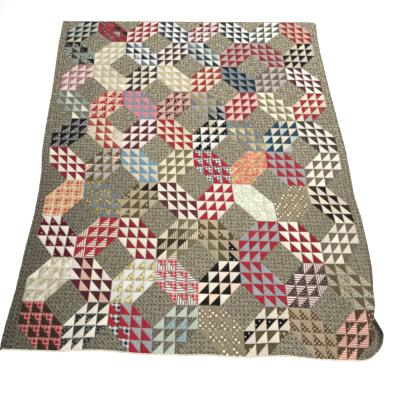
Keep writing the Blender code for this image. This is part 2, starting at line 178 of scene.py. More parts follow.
# Cottons: kind of print, ground colour, figure colour (0 to 255), repeat in mm and, but for
# mottles and the background, share of figure
COTTON_COLUMNS = ("kind", "ground", "figure", "repeat", "share")
COTTONS = {
    "taupe_print": ("busy", (156, 150, 123), (28, 24, 16), 18.7),
    "navy_teal": ("speck", (34, 48, 54), (80, 100, 104), 7, 0.25),
    "navy": ("sprig", (26, 34, 52), (112, 126, 138), 9, 0.14),
    "ink": ("speck", (26, 34, 40), (66, 80, 88), 7, 0.25),
    "prussian": ("speck", (36, 66, 88), (80, 108, 124), 7, 0.2),
    "blue_grey": ("mottle", (112, 124, 134), (150, 158, 160), 9),
    "pale_slate": ("mottle", (152, 160, 164), (184, 184, 180), 9),
    "sky_blue": ("mottle", (96, 144, 172), (150, 180, 186), 8),
    "dusty_blue": ("mottle", (130, 144, 166), (158, 160, 172), 8),
    "steel": ("mottle", (122, 138, 144), (152, 165, 169), 9),
    "slate": ("mottle", (104, 118, 124), (134, 146, 150), 9),
    "pale_blue": ("speck", (176, 182, 172), (146, 156, 156), 7, 0.25),
    "frost_check": ("check", (246, 246, 238), (214, 218, 208), 9, 0.4),
    "turkey_red": ("mottle", (162, 32, 50), (186, 58, 66), 9),
    "garnet": ("mottle", (140, 40, 46), (164, 66, 66), 9),
    "brick_red": ("speck", (164, 52, 50), (200, 96, 84), 8, 0.3),
    "coral_speck": ("sprig", (164, 48, 50), (220, 150, 136), 9, 0.15),
    "red_print": ("sprig", (152, 34, 46), (216, 130, 124), 9, 0.18),
    "red_floral": ("sprig", (176, 40, 44), (234, 198, 172), 15, 0.12),
    "rose_red": ("mottle", (148, 24, 38), (194, 74, 92), 17),
    "crimson": ("mottle", (134, 26, 42), (156, 50, 60), 8),
    "burgundy": ("flower", (110, 32, 50), (240, 212, 208), 20, 0.15),
    "wine": ("flower", (84, 26, 38), (216, 150, 156), 24, 0.05),
    "maroon": ("speck", (92, 40, 46), (130, 80, 84), 7, 0.25),
    "plum": ("sprig", (92, 30, 50), (214, 176, 164), 15, 0.18),
    "coral": ("mottle", (218, 134, 134), (236, 160, 158), 7),
    "coral_print": ("flower", (218, 122, 104), (236, 206, 158), 17, 0.22),
    "peach_print": ("flower", (214, 146, 110), (232, 210, 160), 17, 0.34),
    "pale_pink": ("mottle", (248, 226, 216), (240, 208, 200), 8),
    "rose": ("mottle", (246, 206, 192), (238, 186, 176), 8),
    "pink_tan": ("mottle", (224, 190, 168), (206, 166, 146), 8),
    "blush": ("mottle", (254, 236, 224), (238, 208, 198), 8),
    "shell": ("mottle", (244, 233, 224), (234, 220, 210), 8),
    "pink_white": ("speck", (246, 232, 224), (230, 204, 198), 7, 0.18),
    "black": ("speck", (24, 21, 18), (66, 60, 52), 8, 0.15),
    "black_speck": ("dots", (23, 21, 22), (226, 222, 214), 22, 0.05),
    "black_white": ("sprig", (30, 32, 34), (200, 198, 196), 8, 0.36),
    "black_pink": ("sprig", (40, 33, 31), (156, 124, 112), 7, 0.26),
    "charcoal": ("speck", (62, 58, 50), (100, 94, 84), 8, 0.25),
    "grey_green": ("speck", (92, 94, 80), (128, 130, 112), 8, 0.25),
    "green_mottle": ("sprig", (88, 94, 82), (220, 222, 212), 13, 0.26),
    "olive_grey": ("speck", (118, 116, 100), (146, 148, 134), 8, 0.25),
    "sage": ("speck", (150, 158, 146), (176, 184, 172), 8, 0.28),
    "pale_sage": ("mottle", (206, 212, 198), (184, 192, 178), 8),
    "sage_print": ("sprig", (196, 190, 166), (118, 112, 86), 9, 0.24),
    "olive": ("speck", (124, 114, 82), (156, 146, 108), 8, 0.25),
    "olive_brown": ("speck", (94, 82, 56), (124, 112, 82), 8, 0.25),
    "olive_sprig": ("flower", (94, 82, 56), (206, 192, 158), 22, 0.13),
    "brown": ("speck", (104, 84, 62), (140, 112, 88), 8, 0.22),
    "dark_brown": ("dots", (48, 37, 24), (130, 110, 80), 12, 0.07),
    "brown_print": ("sprig", (136, 88, 84), (232, 196, 190), 10, 0.24),
    "brown_polka": ("dots", (94, 72, 48), (194, 172, 142), 13.5, 0.26),
    "taupe": ("speck", (110, 100, 84), (146, 134, 116), 8, 0.25),
    "tan": ("mottle", (196, 182, 154), (178, 160, 130), 8),
    "tan_brown": ("sprig", (122, 102, 74), (196, 180, 148), 9, 0.26),
    "tan_lines": ("stripe", (158, 145, 115), (140, 127, 99), 6, 0.3),
    "tan_dots": ("dots", (136, 122, 94), (250, 242, 222), 18.5, 0.24),
    "gold": ("mottle", (156, 138, 88), (186, 168, 112), 8),
    "gold_print": ("sprig", (176, 154, 96), (226, 214, 170), 9, 0.3),
    "gold_floral": ("flower", (130, 117, 77), (216, 196, 132), 17, 0.25),
    "yellow_print": ("flower", (180, 164, 104), (240, 232, 192), 15, 0.4),
    "stone": ("speck", (206, 201, 180), (164, 158, 138), 7, 0.25),
    "cream": ("mottle", (240, 228, 202), (228, 214, 184), 9),
    "white_cream": ("mottle", (246, 240, 222), (236, 226, 206), 9),
    "bone": ("mottle", (238, 227, 208), (226, 213, 193), 9),
    "ecru": ("mottle", (204, 194, 166), (224, 214, 188), 9),
    "oat": ("mottle", (240, 234, 212), (226, 218, 192), 9),
    "leaf_cream": ("mottle", (176, 168, 140), (226, 218, 192), 24),
    "oat_cream": ("mottle", (242, 236, 218), (204, 198, 172), 24),
    "cream_print": ("sprig", (238, 218, 196), (184, 84, 76), 15, 0.16),
    "cream_sprig": ("sprig", (230, 224, 200), (206, 160, 140), 10, 0.16),
    "white": ("mottle", (248, 248, 240), (234, 232, 224), 9),
    "lemon": ("mottle", (192, 180, 132), (222, 213, 174), 8),
    "yellow_olive": ("stripe", (226, 218, 180), (176, 166, 124), 7, 0.45),
    "mint_cream": ("mottle", (242, 238, 212), (226, 230, 198), 8),
    "mint_sprig": ("sprig", (243, 241, 220), (196, 206, 178), 11, 0.22),
    "lavender": ("speck", (196, 178, 176), (166, 150, 152), 7, 0.25),
    "lilac": ("mottle", (206, 194, 188), (188, 172, 172), 8),
    "lilac_print": ("sprig", (212, 204, 196), (112, 102, 92), 9, 0.24),
    "warm_grey": ("speck", (184, 174, 168), (154, 144, 138), 7, 0.25),
    "tan_bars": ("stripe", (206, 192, 160), (98, 86, 60), 11, 0.32),
    "cream_bars": ("stripe", (234, 222, 196), (60, 54, 40), 11, 0.26),
    "ticking": ("stripe", (238, 238, 234), (40, 48, 60), 11, 0.45),
    "dark_speckle": ("sprig", (86, 80, 68), (166, 158, 142), 7, 0.26),
    "gingham": ("check", (238, 238, 234), (26, 48, 66), 16, 0.5),
    "red_plaid": ("plaid", (238, 178, 174), (178, 24, 44), 36, 0.66),
    "orange_plaid": ("plaid", (234, 204, 160), (194, 64, 52), 50.8, 0.62),
    "peach_plaid": ("plaid", (238, 216, 176), (206, 116, 88), 50.8, 0.44),
    "bar_green": ("stripe", (244, 242, 230), (70, 76, 62), 11.5, 0.38),
    "red_stripe": ("stripe", (246, 228, 208), (134, 50, 50), 11, 0.36),
    "pink_stripe": ("stripe", (240, 220, 214), (84, 44, 52), 10.4, 0.38),
    "rose_stripe": ("stripe", (242, 206, 186), (206, 116, 110), 9, 0.42),
    "bordeaux": ("mottle", (80, 28, 38), (98, 42, 52), 8),
    "peach_cream": ("mottle", (250, 228, 204), (242, 214, 190), 8),
    "black_fleck": ("sprig", (44, 46, 42), (156, 156, 150), 12, 0.14),
    "brown_floral": ("flower", (84, 68, 44), (216, 176, 160), 18, 0.08),
    "posy": ("sprig", (164, 152, 122), (112, 90, 62), 12, 0.24),
    "mint": ("mottle", (208, 217, 198), (190, 202, 184), 9),
    "mist_blue": ("mottle", (146, 170, 178), (176, 192, 192), 9),
    "big_gingham": ("check", (230, 230, 226), (20, 30, 54), 23, 0.56),
    "dark_plaid": ("plaid", (222, 140, 134), (132, 14, 36), 50.8, 0.56),
    "fawn": ("mottle", (182, 164, 137), (166, 147, 121), 8),
    "muslin": ("mottle", (226, 216, 194), (212, 200, 176), 12),
    "edge_tape": ("mottle", (246, 240, 222), (228, 218, 194), 14),
}
BACKGROUND = "taupe_print"
HEART = (200, 146, 96)  # colour of the flowers' hearts

# Blocks, row by row from the far end. Each entry is "far near": the cottons of those two halves of
# its sewn units, with "|" between the ones to choose from.
BLOCKS = (
    ("navy_teal|ink stone|pale_sage", "garnet|plum|ink|plum|lavender red_print|garnet",
     "blush garnet", "navy white", "pink_white burgundy", "navy_teal white", "white grey_green",
     "garnet pink_tan"),
    ("green_mottle|sage|black green_mottle|charcoal", "white_cream yellow_olive",
     "white navy|ink|green_mottle|prussian|slate", "charcoal pink_white|pink_white|shell",
     "frost_check|white|pale_sage navy_teal|prussian|slate", "garnet lavender", "warm_grey garnet",
     "black ecru|cream|ecru|pale_sage|stone"),
    ("brown_print pale_pink", "white_cream yellow_olive",
     "cream|white_cream|white_cream black_speck|charcoal|charcoal", "lemon white_cream",
     "cream brick_red", "ink steel", "lilac taupe", "maroon white"),
    ("olive_grey pale_sage|sage|sage|white_cream", "cream_print red_floral", "coral dusty_blue",
     "plum pink_tan", "pale_slate|sage|lilac|pale_slate gold|gold|olive_grey", "garnet rose",
     "mint_cream tan_brown", "rose_red cream"),
    ("black black_white", "cream|cream|cream_sprig brick_red|coral_speck|coral_speck|cream_print",
     "pink_white maroon", "turkey_red cream", "white|white|white_cream|ecru black_speck",
     "gold_print|tan_brown|tan_brown|yellow_print blue_grey", "cream|mint_cream|pale_sage prussian",
     "charcoal white_cream"),
    ("crimson white_cream", "lilac_print|lilac_print|cream_print olive_brown|olive|olive_sprig",
     "cream_sprig sky_blue", "olive cream", "gingham turkey_red", "peach_print coral_print",
     "pale_slate turkey_red", "taupe white_cream"),
    ("orange_plaid peach_plaid", "gold_floral blue_grey|slate", "tan olive_sprig|olive_brown",
     "maroon white_cream", "white_cream turkey_red", "mint_sprig mint_sprig", "tan_dots tan_lines",
     "black|black|dark_brown bone"),
    ("shell wine", "turkey_red red_stripe", "white_cream crimson",
     "olive_brown|olive|olive cream_bars|tan_bars|tan_bars|cream",
     "tan olive_sprig|olive|olive_sprig|olive_brown", "turkey_red pale_slate",
     "white_cream crimson", "taupe bone"),
    ("leaf_cream oat_cream", "bordeaux cream|oat|shell|pink_tan", "frost_check yellow_print",
     "red_plaid bar_green", "white_cream|peach_cream black", "turkey_red pale_slate",
     "pink_stripe black_pink", "brown sage_print"),
    ("dark_plaid dark_brown", "charcoal|black_fleck|black_fleck shell|white_cream",
     "pale_slate turkey_red", "dark_speckle mint|mist_blue|mint|pale_blue", "tan_lines tan_dots",
     "olive_brown|olive_sprig|olive_sprig bone", "fawn brown_polka", "brown_floral rose_stripe"),
)

# Odd patches of a block: their half and cotton, and the row and column of each one's unit
SWAPS = {
    (3, 4): ("near", "black_speck", (2, 3), (3, 2), (3, 3)),
    (3, 7): ("near", "pale_blue", (3, 1)),
    (4, 6): ("near", "ticking", (3, 2)),
    (6, 2): ("near", "black", (0, 2), (0, 3)),
    (7, 3): ("far", "dark_brown", (2, 0), (2, 1), (2, 2), (3, 0)),
    (7, 4): ("near", "black_speck", (2, 3), (3, 3)),
    (8, 7): ("far", "posy", (1, 1), (2, 1), (3, 1)),
    (9, 2): ("far", "big_gingham", (0, 0), (1, 0), (2, 0), (2, 1), (3, 1)),
    (9, 5): ("far", "black_speck", (1, 1), (1, 2), (1, 3), (2, 0)),
    (9, 7): ("near", "brown_floral", (0, 3), (1, 3)),
}

# How stripes lie in a block's rows of units, from the far one: upright |, slanting / or level -.
# All others lie level.
UPRIGHT = {
    (4, 6): ("----", "----", "----", "////"),
    (7, 1): ("|---", "|---", "|---", "|---"),
    (7, 3): ("||||", "||||", "||||", "----"),
    (8, 3): ("||--", "----", "----", "||||"),
    (8, 6): ("||||", "---|", "---|", "----"),
    (9, 7): ("----", "---|", "----", "----"),
}
STRIPE_TURNS = {"-": 0.0, "/": math.pi / 4, "|": math.pi / 2}


def smooth_step(t):
    """A soft 0 to 1 step: 3 t squared less 2 t cubed."""
    t = np.clip(t, 0.0, 1.0)
    return t * t * (3.0 - 2.0 * t)


def bump(t):
    """A soft hill: the soft step of 1 less the size of t."""
    return smooth_step(1.0 - np.abs(t))


def row_value(table, columns, line, column):
    """A column of a table at any line: a cubic through its rows, level at each high or low."""
    rows = np.array(table)
    at = rows[:, 0]
    value = rows[:, columns.index(column)]
    grade = np.diff(value) / np.diff(at)
    before, after = grade[:-1], grade[1:]
    same_way = before * after > 0
    even = 2 * before * after / np.where(same_way, before + after, 1.0)
    slope = np.concatenate((grade[:1], np.where(same_way, even, 0.0), grade[-1:]))
    line = np.asarray(line, float)
    inside = np.clip(line, at[0], at[-1])
    i = np.clip(np.searchsorted(at, inside, side="right") - 1, 0, len(at) - 2)
    step = at[i + 1] - at[i]
    t = (inside - at[i]) / step
    cubic = (
        value[i] * (1 + 2 * t) * (1 - t) ** 2
        + slope[i] * step * t * (1 - t) ** 2
        + value[i + 1] * t * t * (3 - 2 * t)
        - slope[i + 1] * step * t * t * (1 - t)
    )
    beyond = np.where(line < at[0], (line - at[0]) * slope[0], (line - at[-1]) * slope[-1])
    return cubic + np.where((line < at[0]) | (line > at[-1]), beyond, 0.0)


def seam_value(line, column):
    """A column of SEAM_LINES at any line."""
    return row_value(SEAM_LINES, SEAM_COLUMNS, line, column)


def roll_value(line, column):
    """A column of ROLL_LINES at any line, held at its end rows."""
    rows = np.array(ROLL_LINES)
    line = np.clip(line, rows[0, 0], rows[-1, 0])
    return row_value(ROLL_LINES, ROLL_COLUMNS, line, column)


def round_corner(across, along, edge_across, edge_along, radius):
    """The cloth's corner drawn in: beyond a kept part of the radius, the distance from the
    arc's middle is scaled so that the square corner's edge comes to lie on the arc."""
    toward_x = math.copysign(1.0, edge_across)
    toward_y = 1.0 if edge_along > LENGTH / 2 else -1.0
    dx = (across - (edge_across - toward_x * radius)) * toward_x
    dy = (along - (edge_along - toward_y * radius)) * toward_y
    inside = (dx > 0) & (dy > 0)
    dx = np.where(inside, dx, 0.0)
    dy = np.where(inside, dy, 0.0)
    out = np.hypot(dx, dy)
    limit = radius * np.where(inside, out / np.maximum(np.maximum(dx, dy), 1e-9), 1.0)
    keep = ROUND_START * radius
    drawn = keep + (out - keep) * (radius - keep) / np.maximum(limit - keep, 1e-9)
    scale = np.where(inside & (out > keep), drawn / np.maximum(out, 1e-9), 1.0)
    return across + dx * (scale - 1.0) * toward_x, along + dy * (scale - 1.0) * toward_y


def lying(across, along):
    """Where flat cloth lies, before it is centred: x and y between the ends of its seam line,
    drawn in by dips and by the roll, and its lift, the sum of the ridges and the roll."""
    edge = HALF_WIDTH + BORDER_WIDTH + BINDING_WIDTH
    end = LENGTH + BINDING_WIDTH
    across, along = round_corner(across, along, edge, end, NEAR_RIGHT_RADIUS)
    across, along = round_corner(across, along, edge, -BINDING_WIDTH, FAR_RIGHT_RADIUS)
    line = along / BLOCK
    part = np.clip((across + HALF_WIDTH) / (2 * HALF_WIDTH), 0.0, 1.0)
    outside = across - np.clip(across, -HALF_WIDTH, HALF_WIDTH)
    flare = LEFT_FLARE * smooth_step(1.0 - (LENGTH - along) / (FLARE_LINES * BLOCK))
    outside = outside * np.where(across < 0, 1.0 + flare, 1.0)
    left_x, right_x = seam_value(line, "left_x"), seam_value(line, "right_x")
    left_y, right_y = seam_value(line, "left_y"), seam_value(line, "right_y")
    x = left_x + (right_x - left_x) * part + outside
    y = left_y + (right_y - left_y) * part
    for dip in DIPS:
        row = dict(zip(DIP_COLUMNS, dip))
        near = smooth_step(1.0 - (LENGTH - along) / DIP_DEPTH)
        y = y + row["pull"] * near * bump((x - row["x"]) / row["spread"])
    lift = 0.0
    for ridge in RIDGES:
        row = dict(zip(RIDGE_COLUMNS, ridge))
        turn = math.radians(row["turn"])
        run = (x - row["x"]) * math.cos(turn) + (y - row["y"]) * math.sin(turn)
        side = (y - row["y"]) * math.cos(turn) - (x - row["x"]) * math.sin(turn)
        lift = lift + row["rise"] * bump(run / row["reach"]) * bump(side / row["spread"])
    from_crest = across - (HALF_WIDTH - roll_value(line, "crest_in"))
    inner = smooth_step(1.0 + from_crest / ROLL_INNER)
    outer = smooth_step(from_crest / roll_value(line, "outer"))
    lift = lift + roll_value(line, "height") * np.where(from_crest < 0, inner, 1.0 - outer)
    crest_draw = roll_value(line, "crest_draw")
    x = x - crest_draw * inner - (roll_value(line, "foot_draw") - crest_draw) * outer
    return np.stack([x, y, lift], axis=-1)


def centring():
    """How far the solids were moved: the centre panel's left and far limits in the frame, less
    the same limits of its underside's grid."""
    low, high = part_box("pieced_centre")
    across = np.linspace(-HALF_WIDTH, HALF_WIDTH, BLOCKS_ACROSS * UNITS_PER_BLOCK + 1)
    along = np.linspace(0.0, LENGTH, BLOCKS_ALONG * UNITS_PER_BLOCK + 1)
    grid = lying(*np.meshgrid(across, along, indexing="ij"))
    return np.array((low[0] - grid[..., 0].min(), high[1] - grid[..., 1].max(), 0.0))


CENTRING = centring()


def cloth(across, along, height):
    """Points at a height above the cloth's underside, along the cloth's own normal."""
    across, along = np.broadcast_arrays(np.asarray(across, float), np.asarray(along, float))
    point = lying(across, along)
    to_right = lying(across + PROBE, along) - point
    to_near = lying(across, along + PROBE) - point
    normal = np.cross(to_near, to_right)
    normal = normal / np.linalg.norm(normal, axis=-1, keepdims=True)
    return point + CENTRING + normal * np.asarray(height)[..., None]


def unevenness(across, along, waves, shortest, longest):
    """Hand-made unevenness of about 1: a sum of seeded plane waves of several lengths."""
    local = np.random.default_rng(21)
    total = 0.0
    for length in np.geomspace(shortest, longest, waves):
        turn = local.uniform(0, math.tau)
        phase = local.uniform(0, math.tau)
        run = across * math.cos(turn) + along * math.sin(turn)
        total = total + np.sin(math.tau * run / length + phase)
    return total / math.sqrt(waves)


def top_height(across, along, puff, nearest):
    """Height of the top above the underside: puff * (1 - exp(-distance to the nearest seam /
    reach)) over the seams' thickness, and a fine unevenness."""
    height = SEAM_THICKNESS + PUFF * puff * (1.0 - np.exp(-np.maximum(nearest, 0) / PUFF_REACH))
    return height + CRUMPLE * unevenness(across, along, 10, 0.014, 0.06)


def tone_with_painted_shade(across, along):
    """Tone of the background print: the far tone, less a darkening that grows with the line,
    with the square of the way to either side, over the near half and toward the near left corner,
    and less painted shade on the curled right border and its outer edge."""
    line = along / BLOCK
    side = ((across - SIDE_MIDDLE) / SIDE_REACH) ** 2
    tone = FAR_TONE - LINE_DARKENING * line - SIDE_DARKENING * side
    near_half = smooth_step((line - NEAR_START) / NEAR_LINES)
    tone = tone - near_half * (NEAR_DARKENING + NEAR_SIDE_DARKENING * side)
    tone = tone - CORNER_DARKENING * line * np.maximum(0.0, -across - CORNER_START)
    # painted shade where the right border curls down
    for start, width, middle, lines, loss in PAINTED_RIM_SHADE:
        outer = smooth_step((across - HALF_WIDTH - start) / width)
        tone = tone - loss * outer * bump((line - middle) / lines)
    return tone


def linear(colour):
    """A colour given as 0 to 255 on screen, as the shader's linear values."""
    c = np.array(colour) / 255.0
    c = np.where(c <= 0.04045, c / 12.92, ((c + 0.055) / 1.055) ** 2.4)
    return (*c.tolist(), 1.0)


class Nodes:
    """Short calls that add shader nodes to one tree."""

    def __init__(self, tree):
        self.tree = tree

    def fill(self, node, inputs):
        """Link or set a node's inputs."""
        for key, value in dict(inputs).items():
            if isinstance(value, bpy.types.NodeSocket):
                self.tree.links.new(value, node.inputs[key])
            else:
                node.inputs[key].default_value = value
        return node

    def add(self, kind, inputs=(), **settings):
        node = self.tree.nodes.new("ShaderNode" + kind)
        for name, value in settings.items():
            setattr(node, name, value)
        return self.fill(node, inputs)

    def math(self, operation, a, b=0.0, c=0.0):
        return self.add("Math", {0: a, 1: b, 2: c}, operation=operation).outputs[0]

    def parts(self, vector):
        return self.add("SeparateXYZ", {0: vector}).outputs

    def ramp(self, value, low, high, to_low=0.0, to_high=1.0):
        node = self.add("MapRange", {
            "Value": value, "From Min": low, "From Max": high,
            "To Min": to_low, "To Max": to_high,
        }, interpolation_type="SMOOTHSTEP")
        return node.outputs["Result"]

    def mix(self, factor, a, b, blend="MIX"):
        node = self.add("Mix", data_type="RGBA", blend_type=blend)
        return self.fill(node, {"Factor": factor, 6: a, 7: b}).outputs[2]

    def noise(self, vector, scale, detail, rough=0.5):
        return self.add("TexNoise", {
            "Vector": vector, "Scale": scale, "Detail": detail, "Roughness": rough,
        }).outputs[0]

    def mapped(self, vector, scale=(1.0, 1.0, 1.0), turn=0.0):
        return self.add("Mapping", {
            "Vector": vector, "Scale": scale, "Rotation": (0, 0, math.radians(turn)),
        }).outputs[0]

    def shaded(self, colour, light, share=1.0):
        grey = self.add("CombineColor", {0: light, 1: light, 2: light}).outputs[0]
        return self.mix(share, colour, grey, "MULTIPLY")

    def cells(self, vector, scale, randomness):
        return self.add("TexVoronoi", {
            "Vector": vector, "Scale": scale, "Randomness": randomness,
        }, voronoi_dimensions="2D").outputs["Distance"]


def sewing_group():
    """Seams and quilting from the attribute "seams", a patch's distances to its three sides.

    The ditch's painted shade and Near are 1 on a side and fade within their reach; the cottons
    darken by both as painted shade. Stitch is a dash beside each side, dashed by the distance to
    the next side.
    """
    tree = bpy.data.node_groups.new("sewing", "ShaderNodeTree")
    for name in ("DitchShade", "Stitch", "Near"):
        tree.interface.new_socket(name, in_out="OUTPUT", socket_type="NodeSocketFloat")
    n = Nodes(tree)
    sides = n.parts(n.add("Attribute", attribute_name="seams").outputs["Vector"])
    nearest = n.math("MINIMUM", n.math("MINIMUM", sides[0], sides[1]), sides[2])
    stitches = 0.0
    for side, run in ((0, 1), (1, 0), (2, 0)):
        off = n.math("ABSOLUTE", n.math("SUBTRACT", sides[side], STITCH_OFF))
        band = n.ramp(off, *STITCH_FADE, 1.0, 0.0)
        step = n.math("FRACT", n.math("DIVIDE", sides[run], STITCH_PITCH))
        dash = n.ramp(n.math("ABSOLUTE", n.math("SUBTRACT", step, 0.5)), 0.22, 0.30, 1.0, 0.0)
        stitches = n.math("MAXIMUM", stitches, n.math("MULTIPLY", band, dash))
    n.fill(tree.nodes.new("NodeGroupOutput"), {
        "DitchShade": n.ramp(nearest, 0.0, DITCH_REACH, 1.0, 0.0),
        "Near": n.ramp(nearest, 0.0, NEAR_REACH, 1.0, 0.0),
        "Stitch": stitches,
    })
    return tree


def print_share(n, pattern, kind, scale, share):
    """How much of the figure colour shows at a point, for one kind of print."""
    if kind == "speck":
        return n.ramp(n.noise(pattern, scale, 2.0, 0.6), 0.60 - share * 0.2, 0.68 - share * 0.2)
    if kind == "mottle":
        return n.ramp(n.noise(pattern, scale, 3.0, 0.6), 0.40, 0.66)
    if kind == "dots":
        radius = math.sqrt(share / math.pi)
        staggered = n.mapped(pattern, turn=45.0)
        return n.ramp(n.cells(staggered, scale, 0.05), radius * 0.85, radius * 1.1, 1.0, 0.0)
    if kind in ("sprig", "flower"):
        radius = math.sqrt(share / math.pi) * 1.15
        ragged = n.math("MULTIPLY_ADD", n.noise(pattern, scale * 3.0, 1.0), 0.5, -0.25)
        away = n.math("ADD", n.cells(pattern, scale, 0.9), ragged)
        return n.ramp(away, radius * 0.75, radius * 1.15, 1.0, 0.0)
    axes = n.parts(pattern)
    step = [n.math("FRACT", n.math("MULTIPLY", axes[k], scale)) for k in (0, 1)]
    bars = [n.math("ABSOLUTE", n.math("SUBTRACT", s, 0.5)) for s in step]
    wide = [n.ramp(b, share * 0.5 - 0.04, share * 0.5 + 0.04, 1.0, 0.0) for b in bars]
    if kind == "stripe":
        return wide[1]
    both = n.math("MULTIPLY", n.math("ADD", wide[0], wide[1]), 0.5)
    if kind == "check":
        return both
    thin = [n.ramp(b, 0.03, 0.06) for b in bars]
    return n.math("MULTIPLY", both, n.math("MULTIPLY", thin[0], thin[1]))


def background_print(n, pattern, place, scale, row):
    """The background print: dark sprays on a square lattice, small ones half way between them,
    and pale broken strokes that fall to the right. The far half has a looser lattice and a
    coarse lengthwise grain, and the near half a fine one."""
    along = n.parts(place)[1]
    loose = n.ramp(along, -0.3, 0.5, 0.08, 0.50)
    ragged = n.math("MULTIPLY_ADD", n.noise(pattern, scale * 3.2, 1.0), 0.50, -0.25)
    spray = n.math("ADD", n.cells(pattern, scale, loose), ragged)
    small = n.math("ADD", n.cells(pattern, scale * 2.0, 0.35), ragged)
    sprays = n.math("MAXIMUM", n.ramp(spray, 0.06, 0.44, 1.0, 0.0),
                    n.ramp(small, 0.08, 0.46, 0.66, 0.0))
    axes = n.parts(pattern)
    falls = n.math("FRACT", n.math("MULTIPLY", n.math("ADD", axes[0], axes[1]), scale))
    off = n.math("ABSOLUTE", n.math("SUBTRACT", falls, 0.55))
    stroke = n.ramp(n.math("MULTIPLY_ADD", ragged, -1.2, off), 0.02, 0.34, 0.30, 0.0)

    kept = n.ramp(along, -0.9, 0.4, 0.72, 0.88)
    patchy = n.ramp(n.noise(pattern, 62.0, 1.0), 0.34, 0.66)
    patchy = n.math("MULTIPLY_ADD", n.math("SUBTRACT", patchy, 0.5), kept, 0.5)
    ground = np.array(row["ground"])
    colour = n.mix(patchy, linear(ground - (26, 24, 24)), linear(ground + (24, 18, 24)))
    colour = n.mix(stroke, colour, linear(ground + 60))
    colour = n.mix(n.math("MULTIPLY", sprays, kept), colour, linear(row["figure"]))
    coarse = n.ramp(n.noise(n.mapped(pattern, (72.0, 43.0, 1.0)), 1.0, 1.0), 0.38, 0.62, 0.85, 1.17)
    colour = n.shaded(colour, coarse, n.ramp(along, -0.5, 0.5))
    fine = n.ramp(n.noise(pattern, 190.0, 1.0), 0.36, 0.64, 0.66, 1.40)
    return n.shaded(colour, fine, n.ramp(along, -0.3, 0.4, 1.0, 0.0))


def cotton(name, sewing):
    """One printed cotton: its print, weave, fading, painted shade in and beside the seam ditches,
    and quilting stitches.
    """
    row = dict(zip(COTTON_COLUMNS, COTTONS[name]))
    kind, scale = row["kind"], 1000.0 / row["repeat"]
    material = bpy.data.materials.new(name)
    material.use_nodes = True
    n = Nodes(material.node_tree)
    pattern = n.add("UVMap", uv_map="Cloth").outputs[0]
    place = n.add("TexCoord").outputs["Object"]
    sewn = n.add("Group", node_tree=sewing).outputs
    if kind == "busy":
        colour = background_print(n, pattern, place, scale, row)
    else:
        figures = print_share(n, pattern, kind, scale, row.get("share"))
        colour = n.mix(figures, linear(row["ground"]), linear(row["figure"]))
    if kind == "flower":
        away = n.cells(pattern, scale, 0.9)
        colour = n.mix(n.ramp(away, 0.08, 0.16, 0.8, 0.0), colour, linear(HEART))

    # patches differ in tone, the background's tone holding painted shade on the curled right
    # border;
    # the whole quilt has faded unevenly, and painted shade darkens the seams' ditches and puckers
    tone = n.add("Attribute", attribute_name="tone").outputs["Fac"]
    threads = n.noise(n.mapped(pattern, (260.0, 1700.0, 1.0)), 1.0, 1.0)
    light = n.math("MULTIPLY_ADD", n.noise(place, 2.4, 3.0), 0.22, 0.86)
    for share, weight, rest in (
        (tone, TONE_STEP, 1.02),
        (threads, 0.08, 0.96),
        (sewn["DitchShade"], -0.30, 1.0),
        (sewn["Near"], -0.05, 1.0),
    ):
        light = n.math("MULTIPLY", light, n.math("MULTIPLY_ADD", share, weight, rest))
    colour = n.shaded(colour, light)
    colour = n.mix(n.math("MULTIPLY", sewn["Stitch"], 0.25), colour, linear(THREAD))

    # relief: plain weave, puckers near the seams, crumples, and the stitches' dents
    warp, weft = [n.add("TexWave", {
        "Vector": pattern, "Scale": 330.0, "Distortion": 0.6, "Detail": 1.0,
    }, bands_direction=axis).outputs["Fac"] for axis in ("X", "Y")]
    weave = n.math("MULTIPLY", n.math("ADD", warp, weft), 0.00003)
    pucker = n.math("MULTIPLY", n.noise(place, 150.0, 2.0), sewn["Near"])
    crumple = n.math("MULTIPLY", n.noise(place, 55.0, 2.0), 0.0009)
    height = n.math("ADD", weave, n.math("MULTIPLY_ADD", pucker, 0.0006, crumple))
    height = n.math("SUBTRACT", height, n.math("MULTIPLY", sewn["Stitch"], STITCH_DENT))
    relief = n.add("Bump", {"Height": height, "Strength": 0.8, "Distance": 1.0})
    n.fill(n.tree.nodes["Principled BSDF"], {
        "Base Color": colour, "Roughness": n.math("MULTIPLY_ADD", threads, 0.14, 0.82),
        "Normal": relief.outputs[0], "Specular IOR Level": 0.10,
        "Sheen Weight": 0.04, "Sheen Roughness": 0.5,
    })
    return material


def grid_faces(columns, rows, falling=None):
    """Triangles of a grid, numbered column by column, facing up. Each cell is split from its far
    right to its near left corner, or the other way where falling is true."""
    i, j = np.meshgrid(np.arange(columns - 1), np.arange(rows - 1), indexing="ij")
    a = i * rows + j
    b, c, d = a + rows, a + rows + 1, a + 1
    rising = np.stack([np.stack([a, d, b], -1), np.stack([b, d, c], -1)], -2)
    if falling is None:
        return rising.reshape(-1, 3)
    other = np.stack([np.stack([a, c, b], -1), np.stack([a, d, c], -1)], -2)
    return np.where(falling[..., None, None], other, rising).reshape(-1, 3)


def new_object(name, data):
    """An object in the scene."""
    thing = bpy.data.objects.new(name, data)
    bpy.context.collection.objects.link(thing)
    return thing


